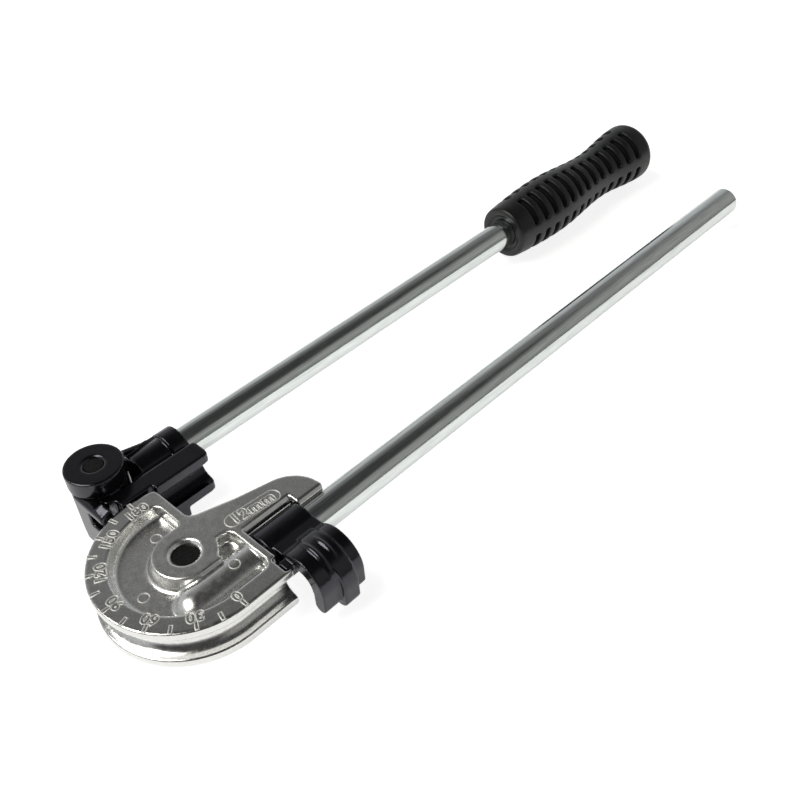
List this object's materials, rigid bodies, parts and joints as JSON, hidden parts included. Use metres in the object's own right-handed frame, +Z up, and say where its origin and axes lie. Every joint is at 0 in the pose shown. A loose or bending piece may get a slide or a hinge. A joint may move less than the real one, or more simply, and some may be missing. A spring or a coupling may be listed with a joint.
{
  "type": "tube bender",
  "caption": "Hand lever bender for thin metal tube: grooved half-round former with a degree scale, fold-over clamp hook and a grooved shoe on a swinging handle.",
  "frame": {"origin": "former's pivot axis on the plane that the tool rests on", "axes": "+X along the handles towards their ends, +Y towards the moving handle, +Z up, out of the former's scale face"},
  "size_m": [0.427, 0.1302, 0.0367],
  "materials": {
    "polished_casting": "polished nickel-plated casting",
    "zinc_rod": "bright zinc-plated drawn bar",
    "black_casting": "gloss black stove enamel",
    "black_steel": "black oxide",
    "plain_steel": "plain",
    "bronze": "sintered bronze",
    "grip_black": "satin moulded grip"
  },
  "bodies": {
    "former_body": {"former": "polished_casting", "fixed_handle_rod": "zinc_rod", "fixed_handle_pin": "plain_steel", "centre_pivot_pin": "black_steel", "thrust_washer": "plain_steel", "pivot_head_washer": "plain_steel"},
    "yoke": {"yoke": "black_casting", "pivot_bush": "bronze", "lug_bush": "bronze"},
    "shoe_lever": {"shoe": "black_casting", "shoe_pivot_pin": "black_steel", "shoe_head_washer": "plain_steel", "moving_handle_rod": "zinc_rod", "moving_handle_pin": "plain_steel", "grip": "grip_black"},
    "hook": {"hook": "black_casting"}
  },
  "joints": [
    {"name": "yoke_swing", "type": "hinge", "parent": "former_body", "child": "yoke", "pos_m": [0, 0, 0.0175], "axis": [0, 0, 1], "range_deg": [0, 180]},
    {"name": "shoe_pivot", "type": "hinge", "parent": "yoke", "child": "shoe_lever", "pos_m": [0, 0.0593, 0.0175], "axis": [0, 0, 1], "range_deg": [0, 130]},
    {"name": "hook_swing", "type": "hinge", "parent": "former_body", "child": "hook", "pos_m": [0.034, -0.018, 0.0175], "axis": [1, 0, 0], "range_deg": [-80, 0]}
  ]
}
